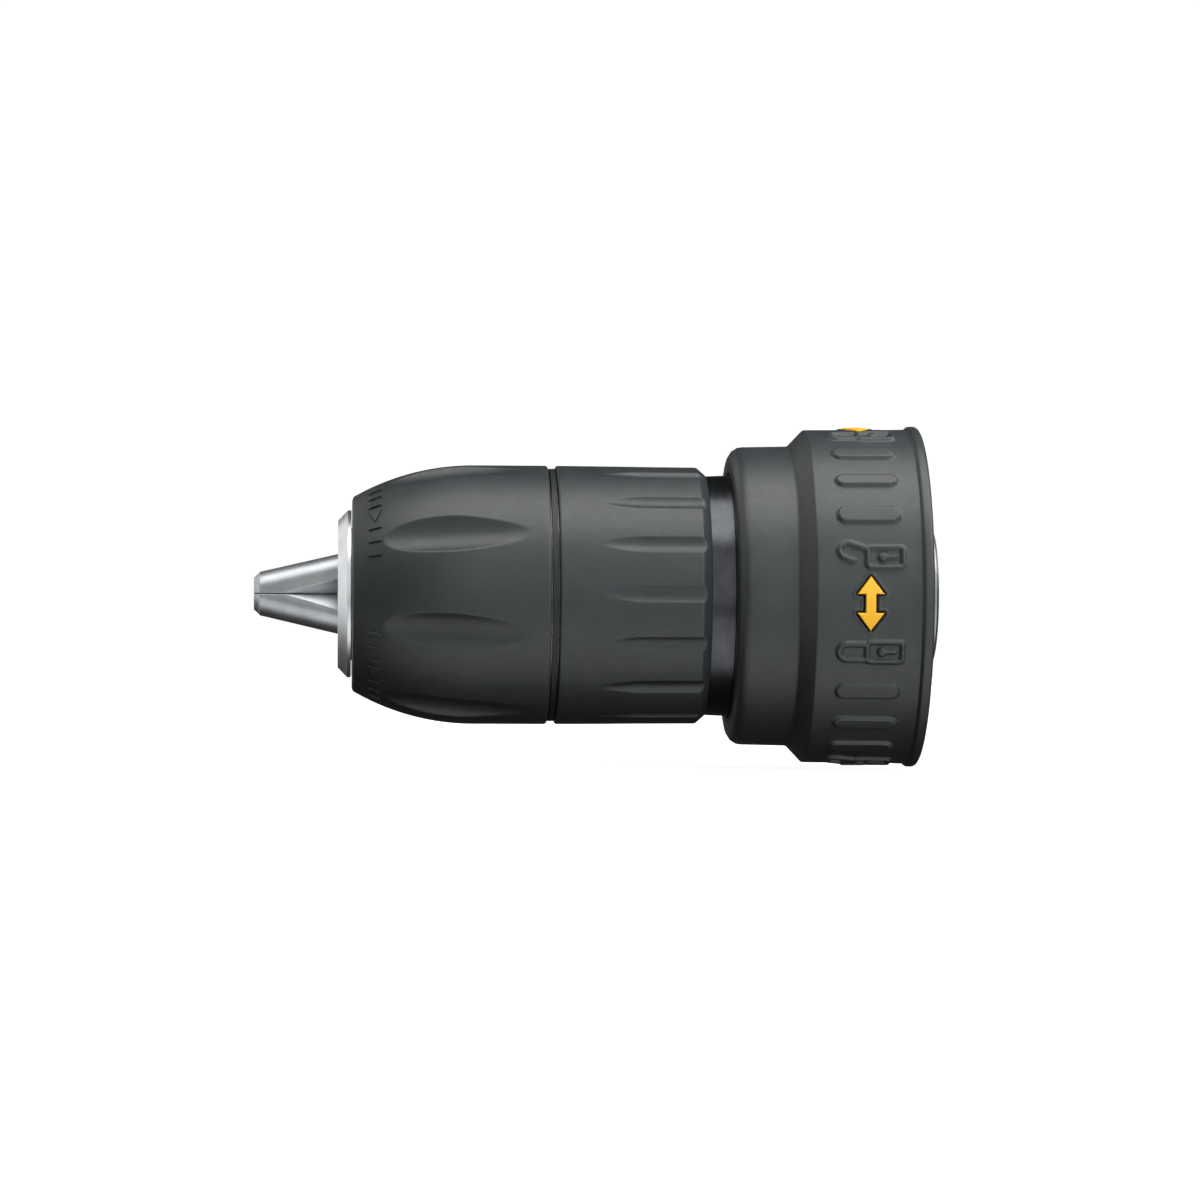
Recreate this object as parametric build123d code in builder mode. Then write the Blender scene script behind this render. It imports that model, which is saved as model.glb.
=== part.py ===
from build123d import *
import os
from math import asin, cos, radians, sin, sqrt, tan

# Quick-change keyless drill chuck for a hammer drill. Sizes are in millimetres.
# +X runs from the drill's spindle to the jaw tips, +Z is up, and the origin is the centre
# of the spindle socket's mouth. A station is a distance along +X from that mouth.
# An azimuth is an angle about +X, from +Y towards +Z.

# Fits
press_gap = 0.02
running_gap = 0.06

# Jaws
grip_capacity = 13.0
jaw_count = 3
jaw_tilt = 15.0
jaw_cross_station = 111.2
jaw_tip_station = 112.9
jaw_rear_station = 73.4
jaw_radius = 3.7
jaw_bore_radius = 3.8
jaw_first_azimuth = 60.0
jaw_seam_gap = 0.2
jaw_edge_flat = 0.35
jaw_tip_chamfer = 0.8
jaw_travel = 25.1
jaw_back_radius = 19.6
thread_pitch = 2.0
thread_depth = 0.9
thread_start_station = 75.4
thread_groove_count = 11
relief_front_station = 107.8
relief_front_radius = 4.07
relief_rear_station = 99.1
relief_rear_radius = 3.2
relief_rear_height = 2.5
relief_rear_reach = 5.3
relief_length = 11.0

# Spindle hub and its socket
socket_radius = 8.0
socket_depth = 16.0
hub_radius = 10.6
hub_shoulder_station = 15.4
hub_shoulder_radius = 12.5
hub_flange_station = 31.5
hub_flange_radius = 14.0
hex_across_flats = 12.0
hex_depth = 12.0
stub_radius = 6.3
stub_end_station = 54.0
screw_hole_radius = 3.05

# Locking collar
rim_station = 2.7
rim_radius = 28.45
collar_rear_radius = 27.9
collar_front_radius = 27.7
collar_cone_start = 21.7
collar_cone_end = 24.3
step_rear_radius = 24.95
step_front_radius = 24.65
collar_front_station = 34.2
collar_front_rounding = 2.3
shell_inner_radius = 25.6
step_inner_radius = 22.6
lip_inner_radius = 20.25
web_rear_station = 12.5
web_front_station = 15.0
collar_lock_turn = 30.0

# Raised marks on the collar
mark_station = 13.1
arrow_azimuth = -2.8
mark_sets = 4
rib_length = 10.2
rib_width = 2.8
rib_height = 0.5
arrow_length = 8.6
arrow_head_width = 4.4
arrow_head_length = 2.9
arrow_shaft_width = 1.7
arrow_border = 0.35
arrow_top_radius = 28.5
arrow_pocket_radius = 27.3
arrow_pocket_floor = 26.9
padlock_offset = 16.3

# Ball lock
ball_radius = 2.0
ball_station = 9.0
ball_count = 3
ball_first_azimuth = 90.0
ball_free_radius = 10.05
ball_locked_radius = 9.0
cam_rear_station = 6.0
cam_front_station = 12.3
cam_outer_radius = 15.0
cam_inner_radius = 11.1
cam_clearance = 0.1
cam_key_offset = -45.0

# Neck and chuck body
neck_rear_radius = 20.15
neck_front_radius = 19.9
body_rear_station = 38.1
body_radius = 18.58
groove_rear_station = 62.0
groove_front_station = 78.0
groove_radius = 12.4
body_front_radius = 14.6
nose_station = 92.0
nose_radius = 11.0
nose_end_station = 98.9
bit_bore_radius = 6.8
bit_bore_station = 57.0
jaw_bore_rear_station = 48.7

# Rear sleeve
rear_sleeve_front_station = 63.0
rear_sleeve_rear_radius = 21.35
rear_sleeve_front_radius = 21.5
rear_sleeve_bore_radius = 20.0
rear_sleeve_seat_station = 48.5
flute_count = 16
flute_level_station = 53.0
flute_front_station = 55.7
flute_cutter_radius = 2.2
flute_depth = 0.42

# Front sleeve
front_sleeve_rear_station = 64.3
front_sleeve_radius = 21.5
front_sleeve_curve_station = 76.5
front_sleeve_curve_radius = 40.0
front_sleeve_shoulder_station = 95.2
front_sleeve_end_station = 96.7
front_sleeve_end_radius = 15.3
front_sleeve_bore_radius = 19.3
scallop_count = 8
scallop_first_azimuth = 28.2
scallop_rear_station = 67.9
scallop_front_station = 91.3
scallop_cutter_radius = 5.2
scallop_extra_depth = 0.1
grip_mark_height = 0.35

# Nut, race and bearing
bearing_station = 66.45
bearing_ball_radius = 0.8
bearing_pitch_radius = 18.1
bearing_ball_count = 24
nut_rear_station = 68.75
nut_front_station = 77.0
nut_radius = 17.8
shell_outer_radius = 19.2
shell_front_station = 78.6
drive_lug_count = 3
drive_lug_width = 4.0
drive_lug_rear_station = 75.6

# Tail screw
screw_head_radius = 5.0
screw_head_front_station = 60.4
screw_shank_radius = 3.0
screw_tip_station = 42.0
screw_socket_flats = 4.0

jaw_slope = tan(radians(jaw_tilt))
jaw_half_section = jaw_radius / cos(radians(jaw_tilt))
jaw_azimuths = [jaw_first_azimuth + 360 / jaw_count * n for n in range(jaw_count)]
ball_azimuths = [ball_first_azimuth + 360 / ball_count * n for n in range(ball_count)]


def outward(azimuth):
    """Unit vector that points away from the chuck axis at an azimuth."""
    return Vector(0, cos(radians(azimuth)), sin(radians(azimuth)))


def at(station, radius, azimuth):
    """Point at a station, a radius and an azimuth."""
    return Vector(station, 0, 0) + outward(azimuth) * radius


def facing_out(station, radius, azimuth):
    """Plane that touches a cylinder, with its x along the chuck axis and its z outward."""
    return Plane(origin=at(station, radius, azimuth), x_dir=(1, 0, 0), z_dir=outward(azimuth))


def jaw_axis_radius(station):
    """Distance from the chuck axis to a jaw's own axis, with the jaws closed."""
    return (jaw_cross_station - station) * jaw_slope


def jaw_outer_radius(station):
    """Distance from the chuck axis to a jaw's outermost line, with the jaws closed."""
    return jaw_axis_radius(station) + jaw_half_section


def jaw_plane(station, azimuth):
    """Plane square to a jaw's own axis where that axis passes a station."""
    tilt = radians(jaw_tilt)
    forward = Vector(cos(tilt), 0, 0) - outward(azimuth) * sin(tilt)
    return Plane(origin=at(station, jaw_axis_radius(station), azimuth), z_dir=forward)


def front_sleeve_outline(station):
    """Radius of the front sleeve's outside at a station."""
    past = max(station - front_sleeve_curve_station, 0)
    drop = front_sleeve_curve_radius - sqrt(front_sleeve_curve_radius**2 - past**2)
    return front_sleeve_radius - drop


# Spindle hub: socket, hex drive, ball holes, flange and threaded stub
with BuildPart() as spindle_hub:
    with BuildSketch(Plane.XZ):
        with BuildLine():
            Polyline(
                (0, socket_radius),
                (0, hub_radius),
                (hub_shoulder_station, hub_radius),
                (hub_shoulder_station, hub_shoulder_radius),
                (hub_flange_station, hub_shoulder_radius),
                (hub_flange_station, hub_flange_radius),
                (body_rear_station, hub_flange_radius),
                (body_rear_station, stub_radius),
                (stub_end_station - 0.6, stub_radius),
                (stub_end_station, stub_radius - 0.6),
                (stub_end_station, screw_hole_radius),
                (socket_depth, screw_hole_radius),
                (socket_depth, socket_radius),
                close=True,
            )
        make_face()
    revolve(axis=Axis.X)
    with BuildSketch(Plane.YZ.offset(socket_depth)):
        RegularPolygon(hex_across_flats / 2, 6, major_radius=False)
    extrude(amount=hex_depth, mode=Mode.SUBTRACT)
    for azimuth in ball_azimuths:
        with BuildSketch(facing_out(ball_station, 0, azimuth)):
            Circle(ball_radius - 0.1)
        extrude(amount=hub_radius + 1, mode=Mode.SUBTRACT)
        with BuildSketch(facing_out(ball_station, socket_radius + 0.3, azimuth)):
            Circle(ball_radius + running_gap)
        extrude(amount=hub_radius, mode=Mode.SUBTRACT)
spindle_hub.part.label = "spindle_hub"

# Ring that closes the rear end
with BuildPart() as end_ring:
    with BuildSketch(Plane.XZ):
        with BuildLine():
            Polyline(
                (0, hub_radius + press_gap),
                (0, 11.15),
                (0.4, 11.55),
                (3.4, 11.55),
                (3.4, hub_radius + press_gap),
                close=True,
            )
        make_face()
    revolve(axis=Axis.X)
end_ring.part.label = "end_ring"

# Fixed cover inside the collar's rear mouth, with a groove for its seal
with BuildPart() as rear_cover:
    with BuildSketch(Plane.XZ):
        with BuildLine():
            Polyline(
                (3.45, hub_radius + press_gap),
                (3.45, 22.8),
                (3.75, 23.4),
                (3.75, 25.3),
                (3.95, 25.3),
                (3.95, 24.6),
                (4.85, 24.6),
                (4.85, 25.3),
                (5.2, 25.3),
                (5.2, hub_radius + press_gap),
                close=True,
            )
        make_face()
    revolve(axis=Axis.X)
rear_cover.part.label = "rear_cover"

with BuildPart() as rear_seal:
    with BuildSketch(Plane.XZ):
        with Locations((4.4, 25.04)):
            Circle(0.42)
    revolve(axis=Axis.X)
rear_seal.part.label = "rear_seal"

# Washers behind and in front of the cam and the collar's web
with BuildPart() as thrust_washer:
    with BuildSketch(Plane.YZ.offset(5.25)):
        Circle(16.4)
        Circle(hub_radius + press_gap, mode=Mode.SUBTRACT)
    extrude(amount=0.5)
thrust_washer.part.label = "thrust_washer"

with BuildPart() as friction_washer:
    with BuildSketch(Plane.YZ.offset(15.05)):
        Circle(16.0)
        Circle(hub_radius + press_gap, mode=Mode.SUBTRACT)
    extrude(amount=0.33)
friction_washer.part.label = "friction_washer"

# Cam ring: three pockets whose ramps push the lock balls inward, and three keys
with BuildPart() as cam_ring:
    with BuildSketch(Plane.YZ.offset(cam_rear_station)):
        Circle(cam_outer_radius)
        for azimuth in ball_azimuths:
            key_azimuth = azimuth + cam_key_offset
            with Locations(Location((0, 0, 0), (0, 0, key_azimuth))):
                with Locations((cam_outer_radius + 0.2, 0)):
                    Rectangle(2.4, 3.0)
        Circle(cam_inner_radius, mode=Mode.SUBTRACT)
        for azimuth in ball_azimuths:
            deep = ball_free_radius + ball_radius + cam_clearance
            middle = (deep + cam_inner_radius) / 2
            angles = [azimuth - 11.5, azimuth - 5, azimuth]
            angles += [azimuth + collar_lock_turn / 2, azimuth + collar_lock_turn]
            radii = [deep, deep, deep, middle, cam_inner_radius]
            points = [
                (r * cos(radians(a)), r * sin(radians(a))) for r, a in zip(radii, angles)
            ]
            with BuildLine():
                ThreePointArc(points[0], points[1], points[2])
                ThreePointArc(points[2], points[3], points[4])
                Polyline(points[4], (0, 0), points[0])
            make_face(mode=Mode.SUBTRACT)
    extrude(amount=cam_front_station - cam_rear_station)
cam_ring.part.label = "cam_ring"

# Lock balls in the hub's holes, at rest outside the socket bore
lock_balls = []
for number, azimuth in enumerate(ball_azimuths, start=1):
    with BuildPart() as lock_ball:
        with Locations(at(ball_station, ball_free_radius, azimuth)):
            Sphere(ball_radius)
    lock_ball.part.label = f"lock_ball_{number}"
    lock_balls.append(lock_ball.part)


def arrow_outline(grow):
    """Corners of a double-headed arrow, its length across the collar, grown on every side."""
    tip = arrow_length / 2 + grow * 1.3
    neck = arrow_length / 2 - arrow_head_length
    half_head = arrow_head_width / 2 + grow * 1.3
    half_shaft = arrow_shaft_width / 2 + grow
    upper = [(half_shaft, neck - grow), (half_head, neck - grow), (0, tip)]
    upper += [(-half_head, neck - grow), (-half_shaft, neck - grow)]
    lower = [(-u, -v) for u, v in upper]
    return upper + lower


# Yellow direction arrows, set into pockets in the collar
with BuildPart() as direction_arrows:
    for number in range(mark_sets):
        azimuth = arrow_azimuth + 360 / mark_sets * number
        with BuildSketch(facing_out(mark_station, arrow_pocket_radius - 1, azimuth)):
            with BuildLine():
                Polyline(*arrow_outline(0), close=True)
            make_face()
        extrude(amount=3)
    with BuildSketch(Plane.YZ.offset(mark_station - 5)):
        Circle(arrow_top_radius)
        Circle(arrow_pocket_radius + press_gap, mode=Mode.SUBTRACT)
    extrude(amount=10, mode=Mode.INTERSECT)
direction_arrows.part.label = "direction_arrows"


def padlock_sketch(azimuth, opened):
    """Outline of a padlock that lies along the collar, its shackle towards the jaws."""
    swing = 1.9 if opened else 0
    lift = -0.7 if opened else 0
    side = facing_out(mark_station, collar_front_radius - 1, azimuth)
    with BuildSketch(side) as mark:
        with Locations((2.3, -lift - swing)):
            SlotOverall(5.6, 3.0)
            SlotOverall(4.4, 1.8, mode=Mode.SUBTRACT)
        if opened:
            with Locations((0.35, -lift - swing - 1.2)):
                Rectangle(1.3, 1.6, mode=Mode.SUBTRACT)
        with Locations((-2.3, -lift)):
            RectangleRounded(5.8, 3.8, 0.8)
            RectangleRounded(4.6, 2.6, 0.5, mode=Mode.SUBTRACT)
            Circle(0.55)
    return mark.sketch


# Locking collar: rimmed grip, cone, front step, web, inner hub and raised marks
with BuildPart() as collar_marks:
    for number in range(mark_sets):
        azimuth = arrow_azimuth + 360 / mark_sets * number
        extrude(padlock_sketch(azimuth + padlock_offset, True), amount=3)
        extrude(padlock_sketch(azimuth - padlock_offset, False), amount=3)
        with BuildSketch(facing_out(mark_station, collar_front_radius - 1, azimuth)):
            with BuildLine():
                Polyline(*arrow_outline(arrow_border), close=True)
            make_face()
        extrude(amount=3)
        for offset in (30, 45, 60):
            with BuildSketch(facing_out(mark_station, collar_front_radius - 1, azimuth + offset)):
                SlotOverall(rib_length, rib_width)
            extrude(amount=3)
    with BuildSketch(Plane.YZ.offset(mark_station - 8)):
        Circle(collar_rear_radius + rib_height)
        Circle(collar_front_radius - 0.6, mode=Mode.SUBTRACT)
    extrude(amount=16, mode=Mode.INTERSECT)

with BuildPart() as lock_collar:
    with BuildSketch(Plane.XZ):
        with BuildLine():
            Polyline(
                (rim_station, shell_inner_radius),
                (rim_station, rim_radius - 0.7),
                (rim_station + 0.25, rim_radius - 0.2),
                (rim_station + 0.75, rim_radius),
                (rim_station + 1.2, rim_radius - 0.08),
                (rim_station + 1.8, collar_rear_radius),
                (collar_cone_start, collar_front_radius),
                (collar_cone_end, step_rear_radius),
                (collar_front_station - collar_front_rounding, step_front_radius),
            )
            ThreePointArc(
                (collar_front_station - collar_front_rounding, step_front_radius),
                (
                    collar_front_station - collar_front_rounding * (1 - sin(radians(45))),
                    step_front_radius - collar_front_rounding * (1 - cos(radians(45))),
                ),
                (collar_front_station, step_front_radius - collar_front_rounding),
            )
            Polyline(
                (collar_front_station, step_front_radius - collar_front_rounding),
                (collar_front_station, lip_inner_radius),
                (32.6, lip_inner_radius),
                (32.6, step_inner_radius),
                (24.5, step_inner_radius),
                (21.2, shell_inner_radius),
                (web_front_station, shell_inner_radius),
                (web_front_station, hub_radius + running_gap),
                (web_rear_station, hub_radius + running_gap),
                (web_rear_station, cam_outer_radius + press_gap),
                (5.9, cam_outer_radius + press_gap),
                (5.9, 17.2),
                (web_rear_station, 17.2),
                (web_rear_station, shell_inner_radius),
                (rim_station, shell_inner_radius),
            )
        make_face()
    revolve(axis=Axis.X)
    add(collar_marks.part)
    for number in range(mark_sets):
        azimuth = arrow_azimuth + 360 / mark_sets * number
        with BuildSketch(facing_out(mark_station, arrow_pocket_floor, azimuth)):
            with BuildLine():
                Polyline(*arrow_outline(press_gap), close=True)
            make_face()
        extrude(amount=3, mode=Mode.SUBTRACT)
    for azimuth in ball_azimuths:
        with BuildSketch(Plane.YZ.offset(5.8)):
            with Locations(Location((0, 0, 0), (0, 0, azimuth + cam_key_offset))):
                with Locations((cam_outer_radius + 0.2, 0)):
                    Rectangle(2.5, 3.1)
        extrude(amount=cam_front_station - 5.8 + 0.1, mode=Mode.SUBTRACT)
lock_collar.part.label = "lock_collar"

# Black neck ring on the hub's flange, with a groove for the collar's front seal
with BuildPart() as neck_ring:
    with BuildSketch(Plane.XZ):
        with BuildLine():
            Polyline(
                (hub_flange_station, hub_flange_radius + press_gap),
                (hub_flange_station, neck_rear_radius - 0.3),
                (hub_flange_station + 0.3, neck_rear_radius),
                (33.2, neck_rear_radius),
                (33.2, 19.2),
                (34.2, 19.2),
                (34.2, neck_rear_radius - 0.1),
                (body_rear_station, neck_front_radius),
                (body_rear_station, hub_flange_radius + press_gap),
                close=True,
            )
        make_face()
    revolve(axis=Axis.X)
neck_ring.part.label = "neck_ring"

with BuildPart() as front_seal:
    with BuildSketch(Plane.XZ):
        with Locations((33.7, 19.7)):
            Circle(0.44)
    revolve(axis=Axis.X)
front_seal.part.label = "front_seal"

# Chuck body: screwed on the hub's stub, with three tilted jaw bores and the bit bore
with BuildPart() as chuck_body:
    with BuildSketch(Plane.XZ):
        with BuildLine():
            Polyline(
                (body_rear_station, stub_radius + running_gap),
                (body_rear_station, body_radius),
                (groove_rear_station, body_radius),
                (groove_rear_station, groove_radius),
                (groove_front_station, groove_radius),
                (groove_front_station, body_front_radius),
                (nose_station - 0.5, body_front_radius),
                (nose_station, body_front_radius - 0.5),
                (nose_station, nose_radius),
                (nose_end_station, nose_radius),
                (nose_end_station, bit_bore_radius + 0.5),
                (nose_end_station - 0.5, bit_bore_radius),
                (bit_bore_station, bit_bore_radius),
                (bit_bore_station, screw_shank_radius + 0.2),
                (stub_end_station, screw_shank_radius + 0.2),
                (stub_end_station, stub_radius + running_gap),
                close=True,
            )
        make_face()
    revolve(axis=Axis.X)
    for azimuth in jaw_azimuths:
        with BuildSketch(jaw_plane(jaw_bore_rear_station, azimuth)):
            Circle(jaw_bore_radius)
        extrude(amount=70, mode=Mode.SUBTRACT)
chuck_body.part.label = "chuck_body"

# Tail screw through the body's web into the hub
with BuildPart() as tail_screw:
    with BuildSketch(Plane.XZ):
        with BuildLine():
            Polyline(
                (screw_tip_station, 0),
                (screw_tip_station, screw_shank_radius - 0.5),
                (screw_tip_station + 0.5, screw_shank_radius),
                (bit_bore_station, screw_shank_radius),
                (bit_bore_station, screw_head_radius),
                (screw_head_front_station - 0.5, screw_head_radius),
                (screw_head_front_station, screw_head_radius - 0.5),
                (screw_head_front_station, 0),
                close=True,
            )
        make_face()
    revolve(axis=Axis.X)
    with BuildSketch(Plane.YZ.offset(screw_head_front_station)):
        RegularPolygon(screw_socket_flats / 2, 6, major_radius=False)
    extrude(amount=-2.2, mode=Mode.SUBTRACT)
tail_screw.part.label = "tail_screw"

# Rear sleeve, pressed on the body, with shallow flutes that run out towards the front
with BuildPart() as rear_sleeve:
    with BuildSketch(Plane.XZ):
        with BuildLine():
            Polyline(
                (body_rear_station, body_radius + press_gap),
                (body_rear_station, rear_sleeve_rear_radius - 1.25),
                (body_rear_station + 1.5, rear_sleeve_rear_radius),
                (rear_sleeve_front_station - 0.4, rear_sleeve_front_radius),
                (rear_sleeve_front_station, rear_sleeve_front_radius - 0.4),
                (rear_sleeve_front_station, rear_sleeve_bore_radius),
                (rear_sleeve_seat_station, rear_sleeve_bore_radius),
                (rear_sleeve_seat_station, body_radius + press_gap),
                close=True,
            )
        make_face()
    revolve(axis=Axis.X)
    flute_bottom = rear_sleeve_rear_radius - flute_depth
    for number in range(flute_count):
        azimuth = 360 / flute_count * number
        rear = at(body_rear_station - 1, flute_bottom + flute_cutter_radius, azimuth)
        with BuildSketch(Plane(origin=rear, z_dir=(1, 0, 0))):
            Circle(flute_cutter_radius)
        extrude(amount=flute_level_station - body_rear_station + 1, mode=Mode.SUBTRACT)
        rise = outward(azimuth) * (flute_depth / (flute_front_station - flute_level_station))
        run_out = at(flute_level_station, flute_bottom + flute_cutter_radius, azimuth)
        with BuildSketch(Plane(origin=run_out, z_dir=(1, 0, 0))):
            Circle(flute_cutter_radius)
        extrude(amount=8, dir=Vector(1, 0, 0) + rise, mode=Mode.SUBTRACT)
rear_sleeve.part.label = "rear_sleeve"

# Thrust ring against the body's shoulder, cut open for the jaws
with BuildPart() as thrust_ring:
    with BuildSketch(Plane.YZ.offset(groove_rear_station)):
        Circle(shell_outer_radius)
        Circle(groove_radius + press_gap, mode=Mode.SUBTRACT)
    extrude(amount=3.6)
    for azimuth in jaw_azimuths:
        with BuildSketch(jaw_plane(jaw_bore_rear_station, azimuth)):
            Circle(jaw_bore_radius)
        extrude(amount=30, mode=Mode.SUBTRACT)
thrust_ring.part.label = "thrust_ring"

# Spacer ring between the two sleeves
with BuildPart() as sleeve_gap_ring:
    with BuildSketch(Plane.YZ.offset(63.15)):
        Circle(21.0)
        Circle(shell_outer_radius + press_gap, mode=Mode.SUBTRACT)
    extrude(amount=0.95)
sleeve_gap_ring.part.label = "sleeve_gap_ring"

# Thrust bearing: balls, cage and the race on the nut
with BuildPart() as bearing_balls:
    for number in range(bearing_ball_count):
        azimuth = 360 / bearing_ball_count * (number + 0.5)
        with Locations(at(bearing_station, bearing_pitch_radius, azimuth)):
            Sphere(bearing_ball_radius)
bearing_balls.part.label = "bearing_balls"

with BuildPart() as ball_cage:
    with BuildSketch(Plane.YZ.offset(bearing_station - 0.4)):
        Circle(shell_outer_radius)
        Circle(16.95, mode=Mode.SUBTRACT)
        with PolarLocations(bearing_pitch_radius, bearing_ball_count, 180 / bearing_ball_count):
            Circle(bearing_ball_radius + 0.04, mode=Mode.SUBTRACT)
    extrude(amount=0.8)
ball_cage.part.label = "ball_cage"

with BuildPart() as nut_race:
    with BuildSketch(Plane.YZ.offset(67.3)):
        Circle(shell_outer_radius)
        Circle(16.9, mode=Mode.SUBTRACT)
    extrude(amount=1.35)
nut_race.part.label = "nut_race"


def nut_half(number):
    """Half of the split nut, with a cone bore round the jaws' threaded backs."""
    gap = 0.03
    with BuildPart() as half:
        with BuildSketch(Plane.XZ):
            with BuildLine():
                Polyline(
                    (nut_rear_station, jaw_outer_radius(nut_rear_station) + 0.1),
                    (nut_rear_station, nut_radius),
                    (nut_front_station, nut_radius),
                    (nut_front_station, jaw_outer_radius(nut_front_station) + 0.1),
                    close=True,
                )
            make_face()
        revolve(axis=Axis.X)
        side = 1 if number == 1 else -1
        with BuildSketch(Plane.YZ.offset(nut_rear_station - 1)):
            with Locations((0, side * (25 + gap))):
                Rectangle(60, 50)
        extrude(amount=10, mode=Mode.INTERSECT)
    half.part.label = f"nut_half_{number}"
    return half.part


nut_halves = [nut_half(1), nut_half(2)]

# Steel shell that holds the nut halves together and takes the sleeve's drive lugs
with BuildPart() as nut_shell:
    with BuildSketch(Plane.YZ.offset(nut_rear_station)):
        Circle(shell_outer_radius)
        Circle(nut_radius + press_gap, mode=Mode.SUBTRACT)
    extrude(amount=shell_front_station - nut_rear_station)
    with BuildSketch(Plane.YZ.offset(drive_lug_rear_station)):
        with PolarLocations(18.5, drive_lug_count, 0):
            Rectangle(4, drive_lug_width)
    extrude(amount=5, mode=Mode.SUBTRACT)
nut_shell.part.label = "nut_shell"

# Raised arrowheads and ticks round the front sleeve's nose
with BuildPart() as grip_marks:
    for group in range(4):
        start = 45 + 90 * group
        for tick in (-24, -16, -8, 8, 16, 24):
            with BuildSketch(facing_out(93.0, 12, start + tick)):
                with Locations((0, 0)):
                    Rectangle(2.0, 0.55)
            extrude(amount=10)
        with BuildSketch(facing_out(93.0, 12, start)):
            with BuildLine():
                Polyline((-1.1, -1.3), (1.1, -1.3), (0, 1.3), close=True)
            make_face()
        extrude(amount=10)
    with BuildSketch(Plane.XZ):
        with BuildLine():
            Polyline(
                (91.5, front_sleeve_outline(91.5) - 0.5),
                (91.5, front_sleeve_outline(91.5) + grip_mark_height),
                (93.0, front_sleeve_outline(93.0) + grip_mark_height),
                (94.5, front_sleeve_outline(94.5) + grip_mark_height),
                (94.5, front_sleeve_outline(94.5) - 0.5),
                close=True,
            )
        make_face()
    revolve(axis=Axis.X, mode=Mode.INTERSECT)

# Front sleeve: the grip that turns the nut, with long scallops
with BuildPart() as front_sleeve:
    with BuildSketch(Plane.XZ):
        with BuildLine():
            start = (front_sleeve_rear_station, front_sleeve_bore_radius)
            curve_start = (front_sleeve_curve_station, front_sleeve_radius)
            middle_station = (front_sleeve_curve_station + front_sleeve_shoulder_station) / 2
            curve_middle = (middle_station, front_sleeve_outline(middle_station))
            shoulder = front_sleeve_outline(front_sleeve_shoulder_station)
            curve_end = (front_sleeve_shoulder_station, shoulder)
            nose_middle = (front_sleeve_end_station - 0.42, front_sleeve_end_radius + 0.72)
            nose_end = (front_sleeve_end_station, front_sleeve_end_radius)
            Polyline(
                start,
                (front_sleeve_rear_station, front_sleeve_radius - 0.5),
                (front_sleeve_rear_station + 0.5, front_sleeve_radius),
                curve_start,
            )
            ThreePointArc(curve_start, curve_middle, curve_end)
            ThreePointArc(curve_end, nose_middle, nose_end)
            Polyline(
                nose_end,
                (front_sleeve_end_station, nose_radius + running_gap),
                (nose_station + 0.3, nose_radius + running_gap),
                (nose_station + 0.3, body_front_radius + running_gap),
                (79.0, body_front_radius + running_gap),
                (79.0, front_sleeve_bore_radius),
                start,
            )
        make_face()
    revolve(axis=Axis.X)
    low = (scallop_rear_station, front_sleeve_outline(scallop_rear_station))
    high = (scallop_front_station, front_sleeve_outline(scallop_front_station))
    chord_length = sqrt((high[0] - low[0]) ** 2 + (high[1] - low[1]) ** 2)
    chord_tilt = asin((high[1] - low[1]) / chord_length)
    for number in range(scallop_count):
        azimuth = scallop_first_azimuth + 360 / scallop_count * number
        forward = Vector(cos(chord_tilt), 0, 0) + outward(azimuth) * sin(chord_tilt)
        across = Vector(-sin(chord_tilt), 0, 0) + outward(azimuth) * cos(chord_tilt)
        rear_point = at(low[0], low[1], azimuth)
        centre = rear_point + across * (scallop_cutter_radius - scallop_extra_depth)
        with BuildSketch(Plane(origin=centre - forward * 10, z_dir=forward)):
            Circle(scallop_cutter_radius)
        extrude(amount=chord_length + 20, mode=Mode.SUBTRACT)
    add(grip_marks.part)
    with BuildSketch(Plane.YZ.offset(drive_lug_rear_station + 0.1)):
        with PolarLocations(0, drive_lug_count, 0):
            with Locations((18.75, 0)):
                Rectangle(1.7, drive_lug_width - 0.2)
    extrude(until=Until.NEXT)
front_sleeve.part.label = "front_sleeve"

# Bright ring pressed on the body's nose
with BuildPart() as nose_ring:
    with BuildSketch(Plane.XZ):
        with BuildLine():
            Polyline(
                (front_sleeve_end_station + 0.12, nose_radius + press_gap),
                (front_sleeve_end_station + 0.12, 13.9),
                (front_sleeve_end_station + 0.7, 13.9),
                (nose_end_station + 0.1, 12.2),
                (nose_end_station + 0.1, nose_radius + press_gap),
                close=True,
            )
        make_face()
    revolve(axis=Axis.X)
nose_ring.part.label = "nose_ring"


def jaw_sector(azimuth):
    """Corners, square to the chuck axis, of the third of a circle that one jaw may fill."""
    away = jaw_seam_gap / 2 / sin(radians(180 / jaw_count))
    apex = outward(azimuth) * away
    left = outward(azimuth - 180 / jaw_count)
    right = outward(azimuth + 180 / jaw_count)
    near = jaw_edge_flat
    corners = [apex + left * near, apex + left * 40, apex + outward(azimuth) * 60]
    corners += [apex + right * 40, apex + right * near]
    return [(corner.Y, corner.Z) for corner in corners]


def relief_plane(azimuth, side):
    """Plane of the facet beside a jaw's seam. It faces out of the jaw, and its x runs to the rear."""
    seam = azimuth + side * 180 / jaw_count
    inward = outward(seam - side * 90)
    front = at(relief_front_station, relief_front_radius, seam)
    rear = at(relief_rear_station, relief_rear_radius, seam)
    crest = at(relief_rear_station, relief_rear_reach, seam) + inward * relief_rear_height
    run = rear - front
    normal = run.cross(crest - front).normalized()
    away = normal if normal.dot(outward(seam)) > 0 else -normal
    return Plane(origin=front, x_dir=run, z_dir=away)


def groove_outline(station):
    """Corners of one thread groove in a jaw's back."""
    half = thread_pitch * 0.36
    return [
        (station - half, jaw_outer_radius(station - half) + 0.25),
        (station + half, jaw_outer_radius(station + half) + 0.25),
        (station, jaw_outer_radius(station) - thread_depth),
    ]


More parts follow.
